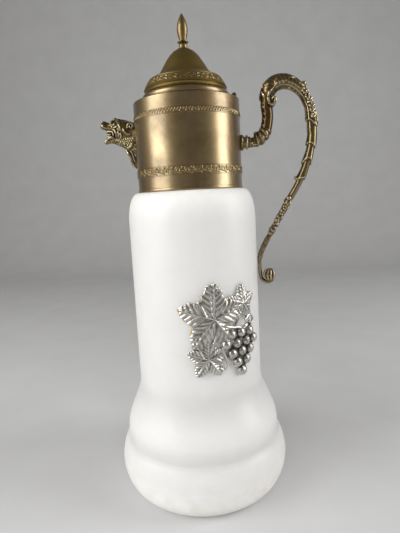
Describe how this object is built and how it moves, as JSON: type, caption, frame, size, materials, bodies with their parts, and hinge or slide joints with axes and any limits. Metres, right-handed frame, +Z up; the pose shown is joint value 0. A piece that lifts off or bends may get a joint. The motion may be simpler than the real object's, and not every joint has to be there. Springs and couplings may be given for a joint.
{
  "type": "milk glass jug",
  "caption": "Tall opal glass jug with a gilt metal collar, beast-head pouring spout, cast scroll handle and a domed lid hinged on the handle's side.",
  "frame": {"origin": "centre of the flat base, on the surface the jug stands on", "axes": "+Z up along the jug's axis, +X towards the handle, -X towards the spout"},
  "size_m": [0.1512, 0.124, 0.335],
  "materials": {
    "opal_glass": "satin, opaque opal white",
    "gilt_brass": "worn gilding, polished by handling",
    "cast_bronze": "aged gilt with dark recesses",
    "silvered_metal": "oxidised silver, dark recesses",
    "cement": "matt, yellowed"
  },
  "bodies": {
    "jug": {"glass_body": "opal_glass", "collar": "gilt_brass", "collar_top": "gilt_brass", "hinge_collar_leaf": "gilt_brass", "hinge_pin": "gilt_brass", "hinge_rivets": "gilt_brass", "spout_head": "cast_bronze", "handle": "cast_bronze", "handle_saddle": "cast_bronze", "handle_stud": "cast_bronze", "stud_washer": "cast_bronze", "stud_nut": "cast_bronze", "badge": "silvered_metal", "neck_cement": "cement", "badge_cement": "cement"},
    "lid": {"lid_ring": "gilt_brass", "lid_bezel": "gilt_brass", "lid_dome": "gilt_brass", "finial": "gilt_brass", "finial_washer": "gilt_brass", "finial_nut": "gilt_brass", "hinge_lid_lug": "gilt_brass"}
  },
  "joints": [
    {"name": "lid_hinge", "type": "hinge", "parent": "jug", "child": "lid", "pos_m": [0.0332, 0, 0.2791], "axis": [0, 1, 0], "range_deg": [0, 95]}
  ]
}
